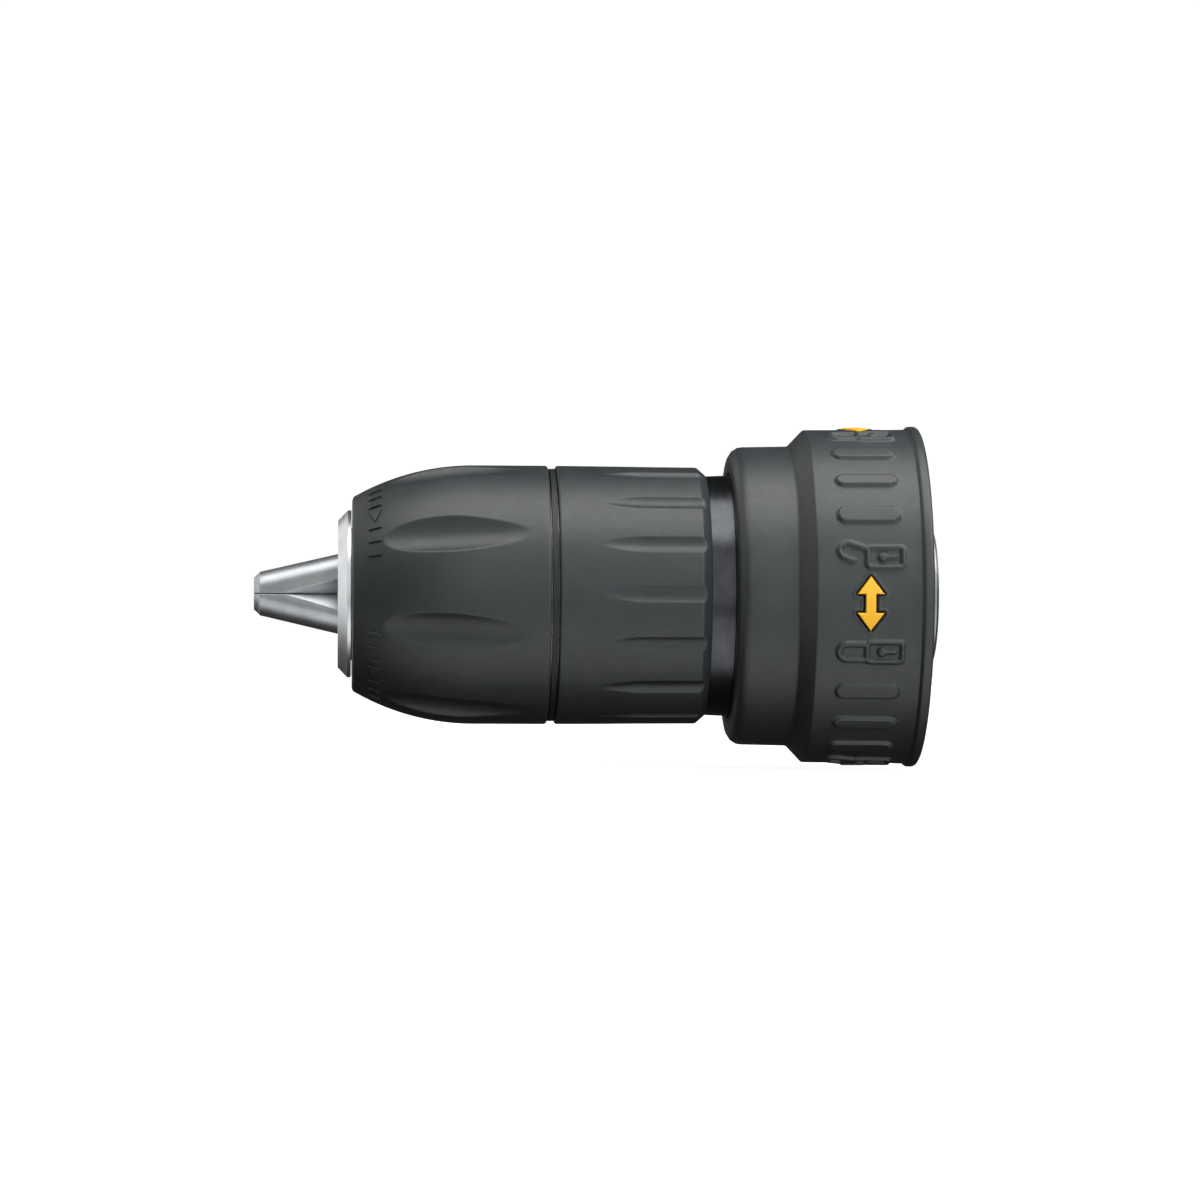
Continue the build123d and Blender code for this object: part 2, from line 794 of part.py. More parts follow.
def jaw(number):
    """One jaw: a tilted bar with two meeting flats, a threaded back and a ground rear corner."""
    azimuth = jaw_azimuths[number - 1]
    lead_in = thread_pitch / jaw_count * (number - 1)
    stations = [
        thread_start_station + lead_in + thread_pitch * n for n in range(thread_groove_count)
    ]
    with BuildPart() as bar:
        with BuildSketch(jaw_plane(jaw_rear_station, azimuth)):
            Circle(jaw_radius)
        extrude(amount=45)
        with BuildSketch(Plane.YZ.offset(60)):
            with BuildLine():
                Polyline(*jaw_sector(azimuth), close=True)
            make_face()
        extrude(amount=jaw_tip_station - 60, mode=Mode.INTERSECT)
        back_axis = at(60, -jaw_travel * sin(radians(jaw_tilt)), azimuth)
        with BuildSketch(Plane(origin=back_axis, x_dir=(0, 1, 0), z_dir=(1, 0, 0))):
            Circle(jaw_back_radius)
        extrude(amount=60, mode=Mode.INTERSECT)
        with BuildSketch(Plane.XZ):
            with BuildLine():
                Polyline(
                    (jaw_tip_station + 0.2, 3.3 - jaw_tip_chamfer),
                    (jaw_tip_station + 0.2, 6),
                    (jaw_tip_station - jaw_tip_chamfer - 1, 6),
                    (jaw_tip_station - jaw_tip_chamfer - 1, 4.6),
                    (jaw_tip_station - jaw_tip_chamfer, 3.4),
                    close=True,
                )
            make_face()
        revolve(axis=Axis.X, mode=Mode.SUBTRACT)
        for side in (-1, 1):
            with BuildSketch(relief_plane(azimuth, side)):
                with Locations((relief_length / 2 - 0.5, 0)):
                    Rectangle(relief_length, 14)
            extrude(amount=6, mode=Mode.SUBTRACT)
        with BuildSketch(Plane.XZ):
            for station in stations:
                with BuildLine():
                    Polyline(*groove_outline(station), close=True)
                make_face()
        revolve(axis=Axis.X, mode=Mode.SUBTRACT)
    bar.part.label = f"jaw_{number}"
    return bar.part


jaws = [jaw(number + 1) for number in range(jaw_count)]

os.makedirs("parts", exist_ok=True)
export_step(spindle_hub.part, "parts/spindle_hub.step")
export_step(end_ring.part, "parts/end_ring.step")
export_step(rear_cover.part, "parts/rear_cover.step")
export_step(rear_seal.part, "parts/rear_seal.step")
export_step(thrust_washer.part, "parts/thrust_washer.step")
export_step(friction_washer.part, "parts/friction_washer.step")
export_step(cam_ring.part, "parts/cam_ring.step")
export_step(direction_arrows.part, "parts/direction_arrows.step")
export_step(lock_collar.part, "parts/lock_collar.step")
export_step(neck_ring.part, "parts/neck_ring.step")
export_step(front_seal.part, "parts/front_seal.step")
export_step(chuck_body.part, "parts/chuck_body.step")
export_step(tail_screw.part, "parts/tail_screw.step")
export_step(rear_sleeve.part, "parts/rear_sleeve.step")
export_step(thrust_ring.part, "parts/thrust_ring.step")
export_step(sleeve_gap_ring.part, "parts/sleeve_gap_ring.step")
export_step(bearing_balls.part, "parts/bearing_balls.step")
export_step(ball_cage.part, "parts/ball_cage.step")
export_step(nut_race.part, "parts/nut_race.step")
export_step(nut_shell.part, "parts/nut_shell.step")
export_step(front_sleeve.part, "parts/front_sleeve.step")
export_step(nose_ring.part, "parts/nose_ring.step")
for piece in (*lock_balls, *nut_halves, *jaws):
    export_step(piece, f"parts/{piece.label}.step")
print("jaw opening", round(2 * jaw_travel * sin(radians(jaw_tilt)), 2), "of", grip_capacity)
print("sleeve turns", round(jaw_travel / thread_pitch, 2))
print("lock ball travel", round(ball_free_radius - ball_locked_radius, 2))
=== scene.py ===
import math

import bpy
import numpy as np
from mathutils import Matrix, Vector


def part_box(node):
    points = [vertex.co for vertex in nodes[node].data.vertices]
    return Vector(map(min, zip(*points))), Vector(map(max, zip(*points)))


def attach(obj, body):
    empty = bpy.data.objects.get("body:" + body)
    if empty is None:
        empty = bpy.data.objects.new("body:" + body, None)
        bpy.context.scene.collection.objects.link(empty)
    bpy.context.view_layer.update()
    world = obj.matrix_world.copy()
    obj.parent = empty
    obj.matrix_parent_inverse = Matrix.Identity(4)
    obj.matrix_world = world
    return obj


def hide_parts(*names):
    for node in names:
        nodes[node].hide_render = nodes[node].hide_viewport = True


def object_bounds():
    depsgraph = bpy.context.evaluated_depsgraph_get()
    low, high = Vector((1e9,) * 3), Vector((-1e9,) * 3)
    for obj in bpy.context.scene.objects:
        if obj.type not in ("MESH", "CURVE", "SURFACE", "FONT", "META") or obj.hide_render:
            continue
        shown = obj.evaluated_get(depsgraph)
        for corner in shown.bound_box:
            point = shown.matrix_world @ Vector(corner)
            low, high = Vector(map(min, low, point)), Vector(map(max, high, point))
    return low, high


# A quick-change keyless drill chuck on a pale floor. Lengths in this script are in millimetres
# unless a name says otherwise, and meshes are written in metres. x runs along the chuck's axis,
# r is the distance from it, and an azimuth is an angle about it, from +Y towards +Z.

MM = 0.001
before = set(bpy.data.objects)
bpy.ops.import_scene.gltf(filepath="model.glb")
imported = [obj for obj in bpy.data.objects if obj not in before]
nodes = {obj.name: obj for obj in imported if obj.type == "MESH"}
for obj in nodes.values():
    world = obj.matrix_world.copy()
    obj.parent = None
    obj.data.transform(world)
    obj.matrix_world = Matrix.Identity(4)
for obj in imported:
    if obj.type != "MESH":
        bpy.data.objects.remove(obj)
cad_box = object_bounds()


def reach(node):
    """(lowest x, highest x, outermost radius) of a CAD node."""
    low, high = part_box(node)
    return low[0] / MM, high[0] / MM, high[2] / MM


# ---------------------------------------------------------------- profiles and lathed skins


def rounded(corners, spacing, steps=5):
    """Closed outline through (x, r, fillet) corners, with round corners and evenly cut runs."""
    points = []
    count = len(corners)
    for i, (x, r, fillet) in enumerate(corners):
        here = np.array([x, r])
        before = np.array(corners[i - 1][:2]) - here
        after = np.array(corners[(i + 1) % count][:2]) - here
        if fillet <= 0:
            points.append(here)
            continue
        a = before / np.linalg.norm(before)
        b = after / np.linalg.norm(after)
        half = math.acos(max(-1, min(1, float(a @ b)))) / 2
        shorter = min(np.linalg.norm(before), np.linalg.norm(after))
        run = min(fillet / math.tan(half), 0.49 * shorter)
        radius = run * math.tan(half)
        centre = here + (a + b) / np.linalg.norm(a + b) * radius / math.sin(half)
        start = here + a * run - centre
        end = here + b * run - centre
        for t in np.linspace(0, 1, steps + 1):
            mixed = start * (1 - t) + end * t
            points.append(centre + mixed / np.linalg.norm(mixed) * radius)
    cut = []
    for i, p in enumerate(points):
        q = points[(i + 1) % len(points)]
        pieces = max(1, math.ceil(np.linalg.norm(q - p) / spacing((p + q) / 2)))
        cut += [p + (q - p) * k / pieces for k in range(pieces)]
    return np.array(cut)


def mesh_object(name, vertices, faces, material, smooth=True):
    """New mesh object from millimetre vertices."""
    mesh = bpy.data.meshes.new(name)
    places = (np.asarray(vertices) * MM).tolist()
    mesh.from_pydata(places, [], [tuple(f) for f in faces])
    mesh.validate()
    mesh.polygons.foreach_set("use_smooth", [smooth] * len(mesh.polygons))
    mesh.update()
    made = bpy.data.objects.new(name, mesh)
    bpy.context.scene.collection.objects.link(made)
    made.data.materials.append(material)
    return made


def lathed(name, points, count, material, moved=None):
    """Closed skin turned about the chuck's axis. moved(x, r, azimuth) gives each point's radius."""
    azimuths = np.arange(count) * 2 * math.pi / count
    x = np.repeat(points[:, 0][:, None], count, 1)
    r = np.repeat(points[:, 1][:, None], count, 1)
    a = np.repeat(azimuths[None, :], len(points), 0)
    if moved is not None:
        r = moved(x, r, a)
    vertices = np.stack([x, r * np.cos(a), r * np.sin(a)], 2).reshape(-1, 3)
    rows = np.arange(len(points))
    i, j = np.meshgrid(rows, np.arange(count), indexing="ij")
    i2, j2 = (i + 1) % len(points), (j + 1) % count
    ahead = np.roll(points, -1, 0)
    turned = np.sum(points[:, 0] * ahead[:, 1] - ahead[:, 0] * points[:, 1])
    corners = [i * count + j, i * count + j2, i2 * count + j2, i2 * count + j]
    quads = np.stack(corners, 2).reshape(-1, 4)
    if turned > 0:
        quads = quads[:, ::-1]
    return mesh_object(name, vertices, quads.tolist(), material)


def smooth_step(t):
    t = np.clip(t, 0, 1)
    return t * t * (3 - 2 * t)


def smooth_min(a, b, k):
    h = np.clip(0.5 + 0.5 * (b - a) / k, 0, 1)
    return b * (1 - h) + a * h - k * h * (1 - h)


def box_distance(u, v, half_u, half_v, corner):
    """Distance outside a rounded rectangle, negative inside it."""
    du = np.abs(u) - half_u + corner
    dv = np.abs(v) - half_v + corner
    return np.hypot(np.maximum(du, 0), np.maximum(dv, 0)) + np.minimum(np.maximum(du, dv), 0) - corner


def outline_distance(u, v, corners):
    """Distance outside a polygon, negative inside it."""
    best = np.full(u.shape, 1e9)
    inside = np.zeros(u.shape, bool)
    for i, (au, av) in enumerate(corners):
        bu, bv = corners[i - 1]
        eu, ev = bu - au, bv - av
        t = np.clip(((u - au) * eu + (v - av) * ev) / (eu * eu + ev * ev), 0, 1)
        best = np.minimum(best, np.hypot(u - au - t * eu, v - av - t * ev))
        crossed = (av > v) != (bv > v)
        with np.errstate(divide="ignore", invalid="ignore"):
            inside ^= crossed & (u < au + (v - av) * eu / ev)
    return np.where(inside, -best, best)


def raised(distance, height, wall):
    """Height of a raised mark with a sloping wall and a soft top edge."""
    return height * smooth_step(0.5 - distance / wall)


# ---------------------------------------------------------------- materials


class Nodes:
    """Short hand for building one material's node tree."""

    def __init__(self, name):
        self.material = bpy.data.materials.new(name)
        self.material.use_nodes = True
        self.tree = self.material.node_tree
        self.shader = self.tree.nodes["Principled BSDF"]
        self.place = self.add("ShaderNodeTexCoord").outputs["Object"]

    def add(self, kind, **settings):
        node = self.tree.nodes.new(kind)
        for key, value in settings.items():
            setattr(node, key, value)
        return node

    def link(self, out, into):
        self.tree.links.new(out, into)

    def noise(self, scale, detail=2.0, rough=0.5, stretch=(1, 1, 1)):
        mapping = self.add("ShaderNodeMapping")
        mapping.inputs["Scale"].default_value = stretch
        self.link(self.place, mapping.inputs["Vector"])
        node = self.add("ShaderNodeTexNoise")
        node.inputs["Scale"].default_value = scale
        node.inputs["Detail"].default_value = detail
        node.inputs["Roughness"].default_value = rough
        self.link(mapping.outputs[0], node.inputs["Vector"])
        return node.outputs[0]

    def span(self, value, low, high, from_low=0.3, from_high=0.7):
        node = self.add("ShaderNodeMapRange")
        node.inputs["From Min"].default_value = from_low
        node.inputs["From Max"].default_value = from_high
        node.inputs["To Min"].default_value = low
        node.inputs["To Max"].default_value = high
        self.link(value, node.inputs["Value"])
        return node.outputs[0]

    def blend(self, value, low, high):
        node = self.add("ShaderNodeMix", data_type="RGBA")
        node.inputs[6].default_value = (*low, 1)
        node.inputs[7].default_value = (*high, 1)
        self.link(value, node.inputs[0])
        return node.outputs[2]

    def bump(self, height, depth_mm, strength=1.0, over=None):
        node = self.add("ShaderNodeBump")
        node.inputs["Strength"].default_value = strength
        node.inputs["Distance"].default_value = depth_mm * MM
        self.link(height, node.inputs["Height"])
        if over is not None:
            self.link(over, node.inputs["Normal"])
        return node.outputs[0]

    def soft_edges(self, radius_mm):
        node = self.add("ShaderNodeBevel", samples=6)
        node.inputs["Radius"].default_value = radius_mm * MM
        return node.outputs[0]


def moulded_plastic(name, dark, light, rough=(0.42, 0.52), edge=None, specular=0.42):
    """Satin glass-filled nylon: fine grain, faint mottling."""
    n = Nodes(name)
    mottle = n.span(n.noise(260, 4, 0.6), 0, 1)
    n.link(n.blend(mottle, dark, light), n.shader.inputs["Base Color"])
    n.link(n.span(n.noise(900, 3, 0.6), *rough), n.shader.inputs["Roughness"])
    n.shader.inputs["Specular IOR Level"].default_value = specular
    over = n.soft_edges(edge) if edge else None
    grain = n.bump(n.noise(2600, 3, 0.6), 0.02, 0.32, over)
    n.link(n.bump(n.noise(500, 2, 0.5), 0.03, 0.10, grain), n.shader.inputs["Normal"])
    return n.material


def steel(name, dark, light, rough, lines, edge=0.1, depth=0.006, metallic=1.0):
    """Machined steel whose tool lines run as the stretch says."""
    n = Nodes(name)
    n.shader.inputs["Metallic"].default_value = metallic
    streaks = n.noise(1.0, 4, 0.6, lines)
    cloud = n.noise(300, 3, 0.5)
    n.link(n.blend(n.span(cloud, 0, 1), dark, light), n.shader.inputs["Base Color"])
    n.link(n.span(streaks, *rough), n.shader.inputs["Roughness"])
    n.link(n.bump(streaks, depth, 0.35, n.soft_edges(edge)), n.shader.inputs["Normal"])
    return n.material


sleeve_plastic = moulded_plastic(
    "sleeve_plastic", (0.0098, 0.0122, 0.0130), (0.0134, 0.0160, 0.0170)
)
collar_plastic = moulded_plastic(
    "collar_plastic", (0.0130, 0.0155, 0.0164), (0.0168, 0.0194, 0.0205)
)
# The gap ring's plastic is darker and less glossy than the sleeves'. Part of that is the ring's own
# dark plastic and part is painted shade for the gap between the sleeves.
gap_ring_plastic_painted_shade = moulded_plastic(
    "gap_ring_plastic_painted_shade", (0.007, 0.008, 0.009), (0.010, 0.011, 0.012), edge=0.1, specular=0.25
)
cover_plastic = moulded_plastic(
    "cover_plastic", (0.013, 0.014, 0.015), (0.018, 0.020, 0.021), edge=0.15
)
seal_rubber = moulded_plastic(
    "seal_rubber", (0.012, 0.012, 0.013), (0.020, 0.020, 0.021), (0.55, 0.7)
)
arrow_yellow = moulded_plastic(
    "arrow_yellow", (0.57, 0.285, 0.004), (0.62, 0.32, 0.006), (0.34, 0.42)
)
ring_steel = steel(
    "ring_steel", (0.24, 0.25, 0.26), (0.31, 0.32, 0.33), (0.34, 0.46), (9000, 60, 60)
)
turned_steel = steel(
    "turned_steel", (0.50, 0.51, 0.52), (0.60, 0.61, 0.62), (0.30, 0.42), (9000, 60, 60)
)
jaw_steel = steel(
    "jaw_steel", (0.31, 0.32, 0.33), (0.38, 0.39, 0.40), (0.36, 0.46), (150, 9000, 9000), 0.16, 0.003
)
hub_steel = steel(
    "hub_steel", (0.34, 0.34, 0.35), (0.46, 0.46, 0.47), (0.30, 0.45), (4000, 90, 90)
)
dark_steel = steel(
    "dark_steel", (0.10, 0.10, 0.11), (0.16, 0.16, 0.17), (0.30, 0.45), (3000, 90, 90)
)
black_oxide = steel(
    "black_oxide",
    (0.039, 0.041, 0.044),
    (0.056, 0.058, 0.062),
    (0.24, 0.32),
    (5000, 60, 60),
    0.15,
    0.003,
)
ball_steel = steel(
    "ball_steel", (0.66, 0.66, 0.67), (0.74, 0.74, 0.75), (0.08, 0.14), (900, 900, 900), 0.05, 0.001
)
cage_brass = steel(
    "cage_brass", (0.55, 0.38, 0.14), (0.66, 0.47, 0.19), (0.28, 0.42), (1500, 500, 500), 0.1
)

carried = [
    (hub_steel, "spindle_hub thrust_washer friction_washer chuck_body thrust_ring cam_ring"),
    (hub_steel, "nut_half_1 nut_half_2 nut_shell nut_race"),
    (ring_steel, "end_ring"),
    (turned_steel, "nose_ring"),
    (dark_steel, "tail_screw"),
    (black_oxide, "neck_ring"),
    (jaw_steel, "jaw_1 jaw_2 jaw_3"),
    (ball_steel, "bearing_balls lock_ball_1 lock_ball_2 lock_ball_3"),
    (cage_brass, "ball_cage"),
    (cover_plastic, "rear_cover"),
    (gap_ring_plastic_painted_shade, "sleeve_gap_ring"),
    (seal_rubber, "rear_seal front_seal"),
]
for material, names in carried:
    for node in names.split():
        data = nodes[node].data
        data.materials.clear()
        data.materials.append(material)

# ---------------------------------------------------------------- front sleeve

front_rear, front_end, _ = reach("front_sleeve")
sleeve_radius = 21.5
front_bore, body_bore, nose_bore = 19.3, 14.66, 11.06
curve_start = front_rear + 12.2
curve_radius = 40.0
scallop_rear, scallop_front = front_rear + 3.6, front_rear + 27.0
scallop_cutter = 5.2


def front_outline(x):
    """Radius of the front sleeve's outside, before its scallops."""
    past = np.clip(x - curve_start, 0, curve_radius)
    return sleeve_radius - (curve_radius - np.sqrt(curve_radius**2 - past**2))


def groove_floor(a, centre, cutter, count, first):
    """Radius of the floor of round-bottomed grooves along a sleeve, and a large one between them."""
    pitch = 2 * math.pi / count
    turn = (a - math.radians(first) + pitch / 2) % pitch - pitch / 2
    inside = cutter**2 - (centre * np.sin(turn)) ** 2
    return np.where(inside > 0, centre * np.cos(turn) - np.sqrt(np.maximum(inside, 0)), 99)


def scalloped(x, r, a):
    """Cuts eight long scallops into the sleeve with a soft lip."""
    low, high = front_outline(scallop_rear), front_outline(scallop_front)
    slope = (high - low) / (scallop_front - scallop_rear)
    centre = low + (x - scallop_rear) * slope + scallop_cutter - 0.03
    floor = groove_floor(a, centre, scallop_cutter, 8, 28.2)
    outer = np.abs(r - front_outline(x)) < 0.05
    return np.where(outer, smooth_min(r, floor, 0.10), r)


def front_spacing(p):
    """Longest step along the front sleeve's outline: short on the outside only."""
    return 0.36 if p[1] > front_outline(p[0]) - 1.0 else 5.0


front_corners = [
    (front_rear, front_bore, 0),
    (front_rear, sleeve_radius, 0.45),
    (curve_start - 0.5, sleeve_radius, 0),
]
for x in np.arange(curve_start, front_end - 1.5, 0.9):
    front_corners.append((x, float(front_outline(x)), 0))
front_corners += [
    (front_end - 0.2, 16.15, 0.6),
    (front_end, 15.5, 0.4),
    (front_end, nose_bore, 0.2),
    (92.3, nose_bore, 0),
    (92.3, body_bore, 0),
    (79.0, body_bore, 0),
    (79.0, front_bore, 0),
]
front_points = rounded(front_corners, front_spacing)
front_sleeve = lathed("front_sleeve_skin", front_points, 720, sleeve_plastic, scalloped)
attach(front_sleeve, "sleeve")
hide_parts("front_sleeve")

# ---------------------------------------------------------------- grip marks on the nose

grip_mark_x = front_end - 3.7
nose_r = 18.2
tick = [(1, -0.27), (1, 0.27), (0, 0.27), (-1, 0.27), (-1, -0.27), (0, -0.27)]
arrowhead = [(-1.1, 1.3), (-0.55, 0), (0, -1.3), (0.55, 0), (1.1, 1.3), (0, 1.3)]
stud_rings = ((1.0, -0.4), (1.0, 0.22), (0.96, 0.3), (0.84, 0.35))


def stud(corners, turn):
    """A low raised mark with a bevelled top. Its corners are (along x, round the nose)."""
    middle = np.mean(corners, 0)
    vertices = []
    for scale, height in stud_rings:
        for u, v in middle + (np.array(corners) - middle) * scale:
            x = grip_mark_x + u
            radius = float(front_outline(x)) + height
            angle = turn + v / nose_r
            vertices.append((x, radius * math.cos(angle), radius * math.sin(angle)))
    count = len(corners)
    faces = [tuple(reversed(range(count))), tuple(range(3 * count, 4 * count))]
    for ring in range(len(stud_rings) - 1):
        for k in range(count):
            base, k2 = ring * count, (k + 1) % count
            faces.append((base + k, base + k2, base + count + k2, base + count + k))
    return vertices, faces


def joined(parts):
    """One list of vertices and one of faces, from several parts' lists."""
    vertices, faces = [], []
    for more, sides in parts:
        faces += [tuple(i + len(vertices) for i in face) for face in sides]
        vertices += more
    return vertices, faces


studs = [
    stud(tick if place else arrowhead, math.radians(45 + 90 * quarter + place))
    for quarter in range(4)
    for place in (-24, -16, -8, 0, 8, 16, 24)
]
grip_marks = mesh_object("grip_marks", *joined(studs), sleeve_plastic, smooth=False)
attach(grip_marks, "sleeve")

# ---------------------------------------------------------------- rear sleeve

rear_rear, rear_front, _ = reach("rear_sleeve")
rear_radius = 21.35
rear_bore = 20.0
seat_bore, seat_front = 18.6, rear_rear + 10.4
flute_cutter = 2.2
flute_depth = 0.5
flute_front, flute_run_out = rear_rear + 17.6, 6.0


def fluted(x, r, a):
    """Cuts sixteen shallow flutes that run out towards the front."""
    depth = np.clip((flute_front - x) / flute_run_out, -1, 1) * flute_depth
    centre = rear_radius + (x - rear_rear) * 0.006 - depth + flute_cutter
    floor = groove_floor(a, centre, flute_cutter, 16, 0.5)
    return np.where(r > rear_bore + 0.05, smooth_min(r, floor, 0.06), r)


rear_corners = [
    (rear_rear, seat_bore, 0),
    (rear_rear, rear_bore + 0.05, 0.25),
    (rear_rear + 1.5, rear_radius, 0.6),
    (rear_front, sleeve_radius, 0.4),
    (rear_front, rear_bore, 0),
    (seat_front, rear_bore, 0),
    (seat_front, seat_bore, 0),
]
rear_points = rounded(rear_corners, lambda p: 0.4 if p[1] > rear_bore + 0.03 else 3.0)
rear_sleeve = lathed("rear_sleeve_skin", rear_points, 1024, sleeve_plastic, fluted)
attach(rear_sleeve, "chuck")
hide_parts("rear_sleeve")

# ---------------------------------------------------------------- locking collar

collar_rear, collar_front, rim_radius = reach("lock_collar")
grip_rear_r, grip_front_r = 27.9, 27.7
grip_front = collar_rear + 19.0
shell_bore, step_bore, lip_bore, hub_bore = 25.6, 22.6, 20.25, 10.66
mark_x = collar_rear + 10.4
mark_r = 27.8
mark_height = 0.6
rib_turns = (-45.6, -30.8, 30.8, 45.6)
padlock_turn = 16.3
arrow_turn = math.radians(-2.4)
half_arrow, half_head, head_length, half_shaft = 4.45, 2.2, 2.95, 0.85
arrow_neck = half_arrow - head_length
arrow_side = [(half_shaft, arrow_neck), (half_head, arrow_neck), (0, half_arrow)]
arrow_side += [(-half_head, arrow_neck), (-half_shaft, arrow_neck)]
arrow_corners = arrow_side + [(-u, -v) for u, v in arrow_side]


def bent_rod(along, across, gap, upper, lower):
    """Distance to the middle line of a shackle: a half circle with two legs of given lengths."""
    leg = np.where(across > 0, upper, lower)
    legs = np.hypot(np.maximum(along - leg, 0), np.abs(across) - gap)
    return np.where(along < 0, np.abs(np.hypot(along, across) - gap), legs)


def padlock(u, v, opened):
    """Distance outside a padlock's raised lines. It lies with its shackle towards the jaws."""
    drop, lift, swing, short_leg = (0.35, 0.75, 20, 1.4) if opened else (0, 0, 0, 3.6)
    body = box_distance(u + 2.45, v + drop, 3.25, 2.0, 0.9)
    swing = math.radians(swing)
    du, dv = u - 3.65, v - lift
    along = -du * math.cos(swing) - dv * math.sin(swing)
    across = -du * math.sin(swing) + dv * math.cos(swing)
    shackle = bent_rod(along, across, 1.3, 3.6, short_leg) - 0.42
    case_line = np.maximum(body, -(body + 0.72))
    key_eye = np.hypot(u + 2.0, v + drop) - 0.72
    key_slot = box_distance(u + 3.3, v + drop, 1.0, 0.3, 0.2)
    lines = np.minimum(case_line, np.maximum(shackle, -body))
    return np.minimum(lines, np.minimum(key_eye, key_slot))


def marked(x, r, a):
    """Raises the ribs, padlocks and arrow borders on the collar's grip, four times round."""
    u = x - mark_x
    quarter = (a - arrow_turn + math.pi / 4) % (math.pi / 2) - math.pi / 4
    v = quarter * mark_r
    height = np.zeros(x.shape)
    for place in rib_turns:
        rib = box_distance(u, v - math.radians(place) * mark_r, 5.1, 1.4, 1.3)
        height = np.maximum(height, raised(rib, mark_height, 0.26))
    sign = math.radians(padlock_turn) * mark_r
    for shift, opened in ((sign, True), (-sign, False)):
        height = np.maximum(height, raised(padlock(u, v - shift, opened), 0.58, 0.24))
    arrow = outline_distance(u, v, arrow_corners)
    height = np.maximum(height, raised(arrow - 0.62, 0.22, 0.3))
    height = height - raised(arrow - 0.28, 0.8, 0.14)
    grip = (r > 27.5) & (x < grip_front + 0.1) & (x > collar_rear + 1.9)
    return np.where(grip, r + height, r)


def collar_spacing(p):
    """Longest step along the collar's outline: short under the raised marks only."""
    return 0.25 if p[1] > 27.6 and abs(p[0] - mark_x) < 3 else 5.0


collar_corners = [
    (collar_rear, shell_bore, 0.15),
    (collar_rear, rim_radius - 0.05, 0.7),
    (collar_rear + 1.55, rim_radius - 0.05, 0.5),
    (collar_rear + 2.0, grip_rear_r, 0.2),
    (mark_x - 6.0, 27.84, 0),
    (mark_x + 6.0, 27.73, 0),
    (grip_front, grip_front_r, 0.5),
    (collar_rear + 21.6, 24.95, 0.9),
    (collar_front, 24.75, 2.3),
    (collar_front, lip_bore, 0.35),
    (32.6, lip_bore, 0),
    (32.6, step_bore, 0),
    (24.5, step_bore, 0),
    (21.2, shell_bore, 0),
    (15.0, shell_bore, 0),
    (15.0, hub_bore, 0),
    (12.5, hub_bore, 0),
    (12.5, 15.0, 0),
    (5.9, 15.0, 0),
    (5.9, 17.2, 0),
    (12.5, 17.2, 0),
    (12.5, shell_bore, 0),
]
collar_points = rounded(collar_corners, collar_spacing, steps=4)
lock_collar = lathed("lock_collar_skin", collar_points, 880, collar_plastic, marked)
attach(lock_collar, "collar")
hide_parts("lock_collar")

# ---------------------------------------------------------------- yellow arrows


def arrow_levels(inset):
    """(v, half width) steps from one tip of the double arrow to the other, drawn in by an inset."""
    neck = arrow_neck + inset
    tip = half_arrow - inset * 1.35
    head = half_head - inset * 2.2
    shaft = half_shaft - inset
    flank = [(neck + (tip - neck) * t, head * (1 - t)) for t in np.linspace(0, 1, 9)]
    upper = [(0.0, shaft), (neck / 2, shaft), (neck, shaft)] + flank
    lower = [(-v, w) for v, w in reversed(upper[1:])]
    return lower + upper


arrow_rings = [(0.0, 27.2), (0.0, 27.93), (0.035, 28.07), (0.11, 28.15), (0.22, 28.18)]


def arrow_piece(turn):
    """A raised double arrow with a rounded top edge, bent round the collar."""
    vertices, faces = [], []
    levels = [arrow_levels(inset) for inset, _ in arrow_rings]
    rows = len(levels[0])
    for steps, (_, radius) in zip(levels, arrow_rings):
        for v, w in steps:
            angle = turn + v / mark_r
            for side in (-1, 1):
                place = (mark_x + side * w, radius * math.cos(angle), radius * math.sin(angle))
                vertices.append(place)
    last = 2 * (rows - 1)
    for ring in range(len(arrow_rings) - 1):
        base, above = ring * rows * 2, (ring + 1) * rows * 2
        for k in range(0, last, 2):
            faces.append((base + k + 1, base + k + 3, above + k + 3, above + k + 1))
            faces.append((base + k + 2, base + k, above + k, above + k + 2))
        faces.append((base, base + 1, above + 1, above))
        faces.append((base + last + 1, base + last, above + last, above + last + 1))
    top = (len(arrow_rings) - 1) * rows * 2
    for k in range(0, last, 2):
        faces.append((top + k, top + k + 1, top + k + 3, top + k + 2))
        faces.append((k + 1, k, k + 2, k + 3))
    return vertices, faces


quarter_turns = [arrow_turn + number * math.pi / 2 for number in range(4)]
arrow_parts = joined([arrow_piece(turn) for turn in quarter_turns])
arrows = mesh_object("direction_arrows_skin", *arrow_parts, arrow_yellow, smooth=False)
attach(arrows, "collar")
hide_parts("direction_arrows")

# ---------------------------------------------------------------- stage

centre = Vector(((cad_box[0][0] + cad_box[1][0]) / 2, 0, 0))
floor_z = cad_box[0][2] - 0.0005


def stage_material():
    """Pale matt floor that glows a little more with distance, so that it fades into the backdrop."""
    n = Nodes("stage_pale")
    tone = n.span(n.noise(3, 2, 0.5), 0, 1)
    n.link(n.blend(tone, (0.30, 0.30, 0.30), (0.32, 0.32, 0.32)), n.shader.inputs["Base Color"])
    n.shader.inputs["Roughness"].default_value = 0.8
    n.shader.inputs["Specular IOR Level"].default_value = 0.1
    n.shader.inputs["Emission Color"].default_value = (1, 1, 1, 1)
    distance = n.add("ShaderNodeVectorMath", operation="LENGTH")
    n.link(n.place, distance.inputs[0])
    glow = n.span(distance.outputs["Value"], 0.9, 1.0, 0.15, 0.6)
    n.link(glow, n.shader.inputs["Emission Strength"])
    return n.material


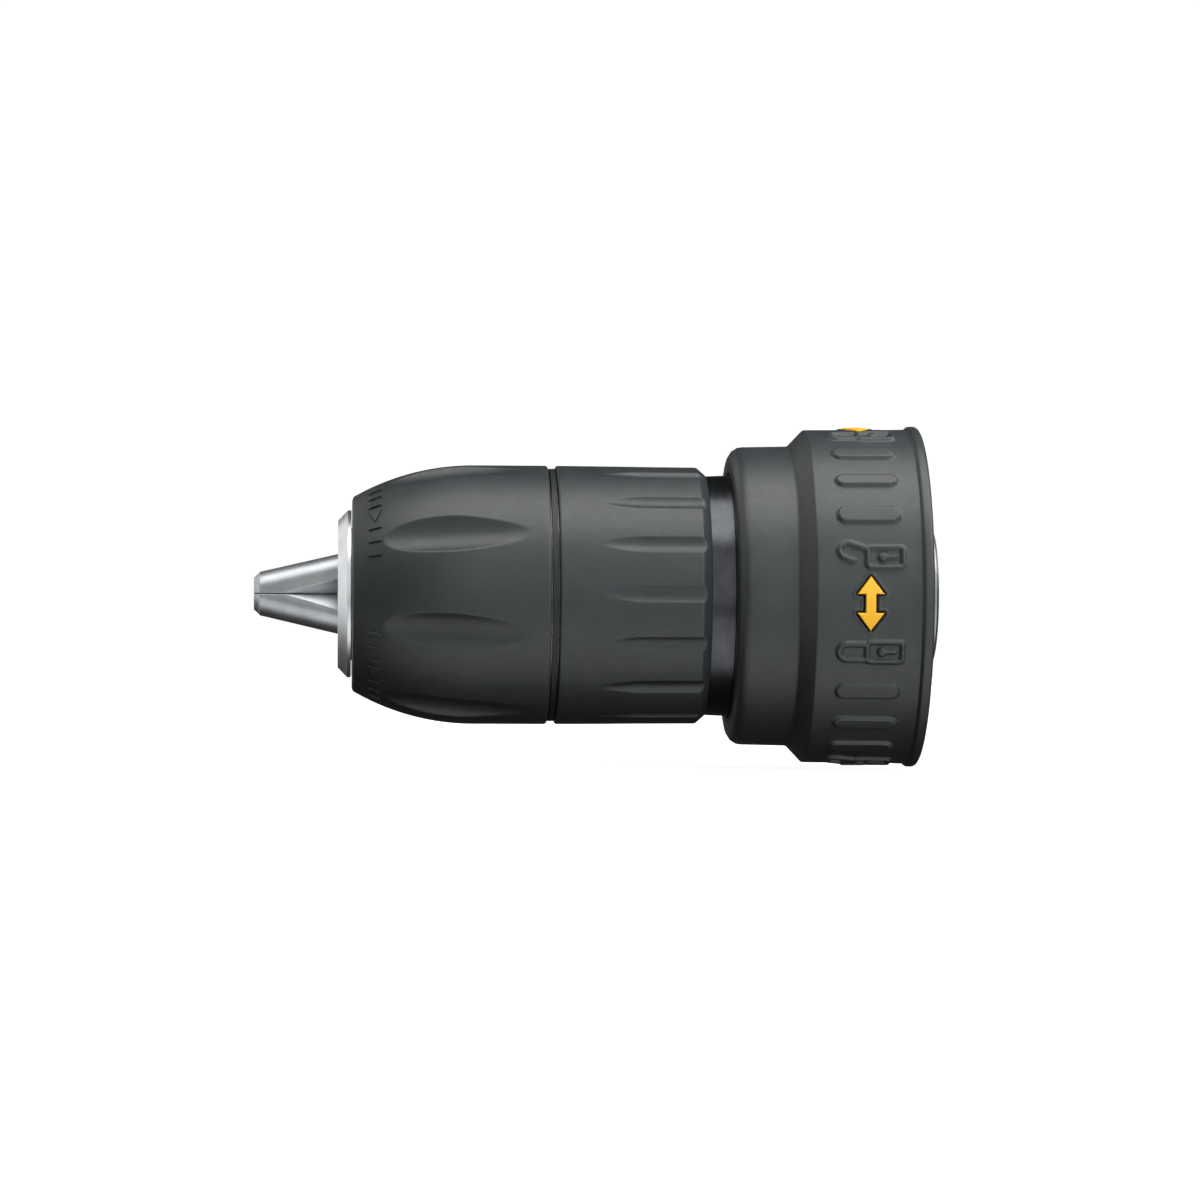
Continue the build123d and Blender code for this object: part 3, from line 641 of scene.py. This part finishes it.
def round_stage():
    """A round pale floor, in metres, that curves up into a wall all round."""
    flat_reach, bend, wall_top, count = 2.2, 0.8, 3.5, 96
    steps = [(0.0, 0.0), (0.3, 0.0), (0.8, 0.0), (1.6, 0.0), (flat_reach, 0.0)]
    for t in np.linspace(0.1, math.pi / 2, 10):
        steps.append((flat_reach + bend * math.sin(t), bend - bend * math.cos(t)))
    steps += [(flat_reach + bend, 2.0), (flat_reach + bend, wall_top)]
    vertices, faces = [], []
    for r, z in steps:
        for k in range(count):
            t = 2 * math.pi * k / count
            vertices.append((r * math.cos(t) / MM, r * math.sin(t) / MM, (z + floor_z) / MM))
    for i in range(len(steps) - 1):
        for k in range(count):
            k2 = (k + 1) % count
            faces.append((i * count + k, (i + 1) * count + k, (i + 1) * count + k2, i * count + k2))
    return mesh_object("floor", vertices, faces, stage_material())


floor = round_stage()
floor.visible_diffuse = False
floor.visible_glossy = False
floor.visible_shadow = False


def towards(angle, lean):
    """Direction at an angle about x, from +Y towards +Z. It leans to the jaws, or back if lean < 0."""
    turn = math.radians(angle)
    return Vector((lean, math.cos(turn), math.sin(turn))).normalized()


def area_light(name, out, distance, length, width, radiance, gloss=True, diffuse=True):
    """A soft panel, in metres, that faces the chuck from the direction out."""
    lamp = bpy.data.lights.new(name, "AREA")
    lamp.shape = "RECTANGLE"
    lamp.size, lamp.size_y = length, width
    lamp.energy = radiance * math.pi * length * width
    made = bpy.data.objects.new(name, lamp)
    across = Vector((0, 1, 0)) if abs(out.x) > 0.7 else out.cross(Vector((1, 0, 0)))
    along = across.cross(out).normalized()
    axes = Matrix((along, out.cross(along), out)).transposed().to_4x4()
    made.matrix_world = Matrix.Translation(centre + out * distance) @ axes
    made.visible_camera = False
    made.visible_glossy = gloss
    made.visible_diffuse = diffuse
    bpy.context.scene.collection.objects.link(made)


nose_side = Vector((0.92, -0.3, 0.25)).normalized()
area_light("overhead_softbox", towards(77, -0.35), 0.5, 1.2, 0.48, 4.9)
area_light("low_bounce", towards(-47, -0.2), 0.5, 1.2, 0.54, 1.7, diffuse=False)
area_light("front_fill", towards(20, -0.6), 0.9, 0.6, 0.6, 10.5, gloss=False)
area_light("back_fill", towards(182, 0.0), 0.9, 0.6, 0.6, 8.0, gloss=False)
area_light("front_card", towards(16, -0.25), 0.9, 1.2, 0.9, 1.3, diffuse=False)
area_light("nose_card", nose_side, 0.5, 0.7, 0.8, 1.3, diffuse=False)

world = bpy.data.worlds.new("studio")
world.use_nodes = True
background = world.node_tree.nodes["Background"]
background.inputs["Color"].default_value = (0.9, 0.95, 1.0, 1)
background.inputs["Strength"].default_value = 0.025
bpy.context.scene.world = world
bpy.context.scene.view_settings.view_transform = "Standard"

# ---------------------------------------------------------------- camera

camera_data = bpy.data.cameras.new("camera")
camera_data.sensor_width = 36
camera_data.lens = 144.7
camera_data.clip_start = 0.05
camera_data.clip_end = 20
camera = bpy.data.objects.new("camera", camera_data)
place = Vector((0.0979, 0.8024, 0.0001))
target = Vector((0.0554, 0.0, -0.0008))
look = (target - place).to_track_quat("-Z", "Y").to_matrix().to_4x4()
roll = Matrix.Rotation(math.radians(0.28), 4, "Z")
camera.matrix_world = Matrix.Translation(place) @ look @ roll
bpy.context.scene.collection.objects.link(camera)
bpy.context.scene.camera = camera
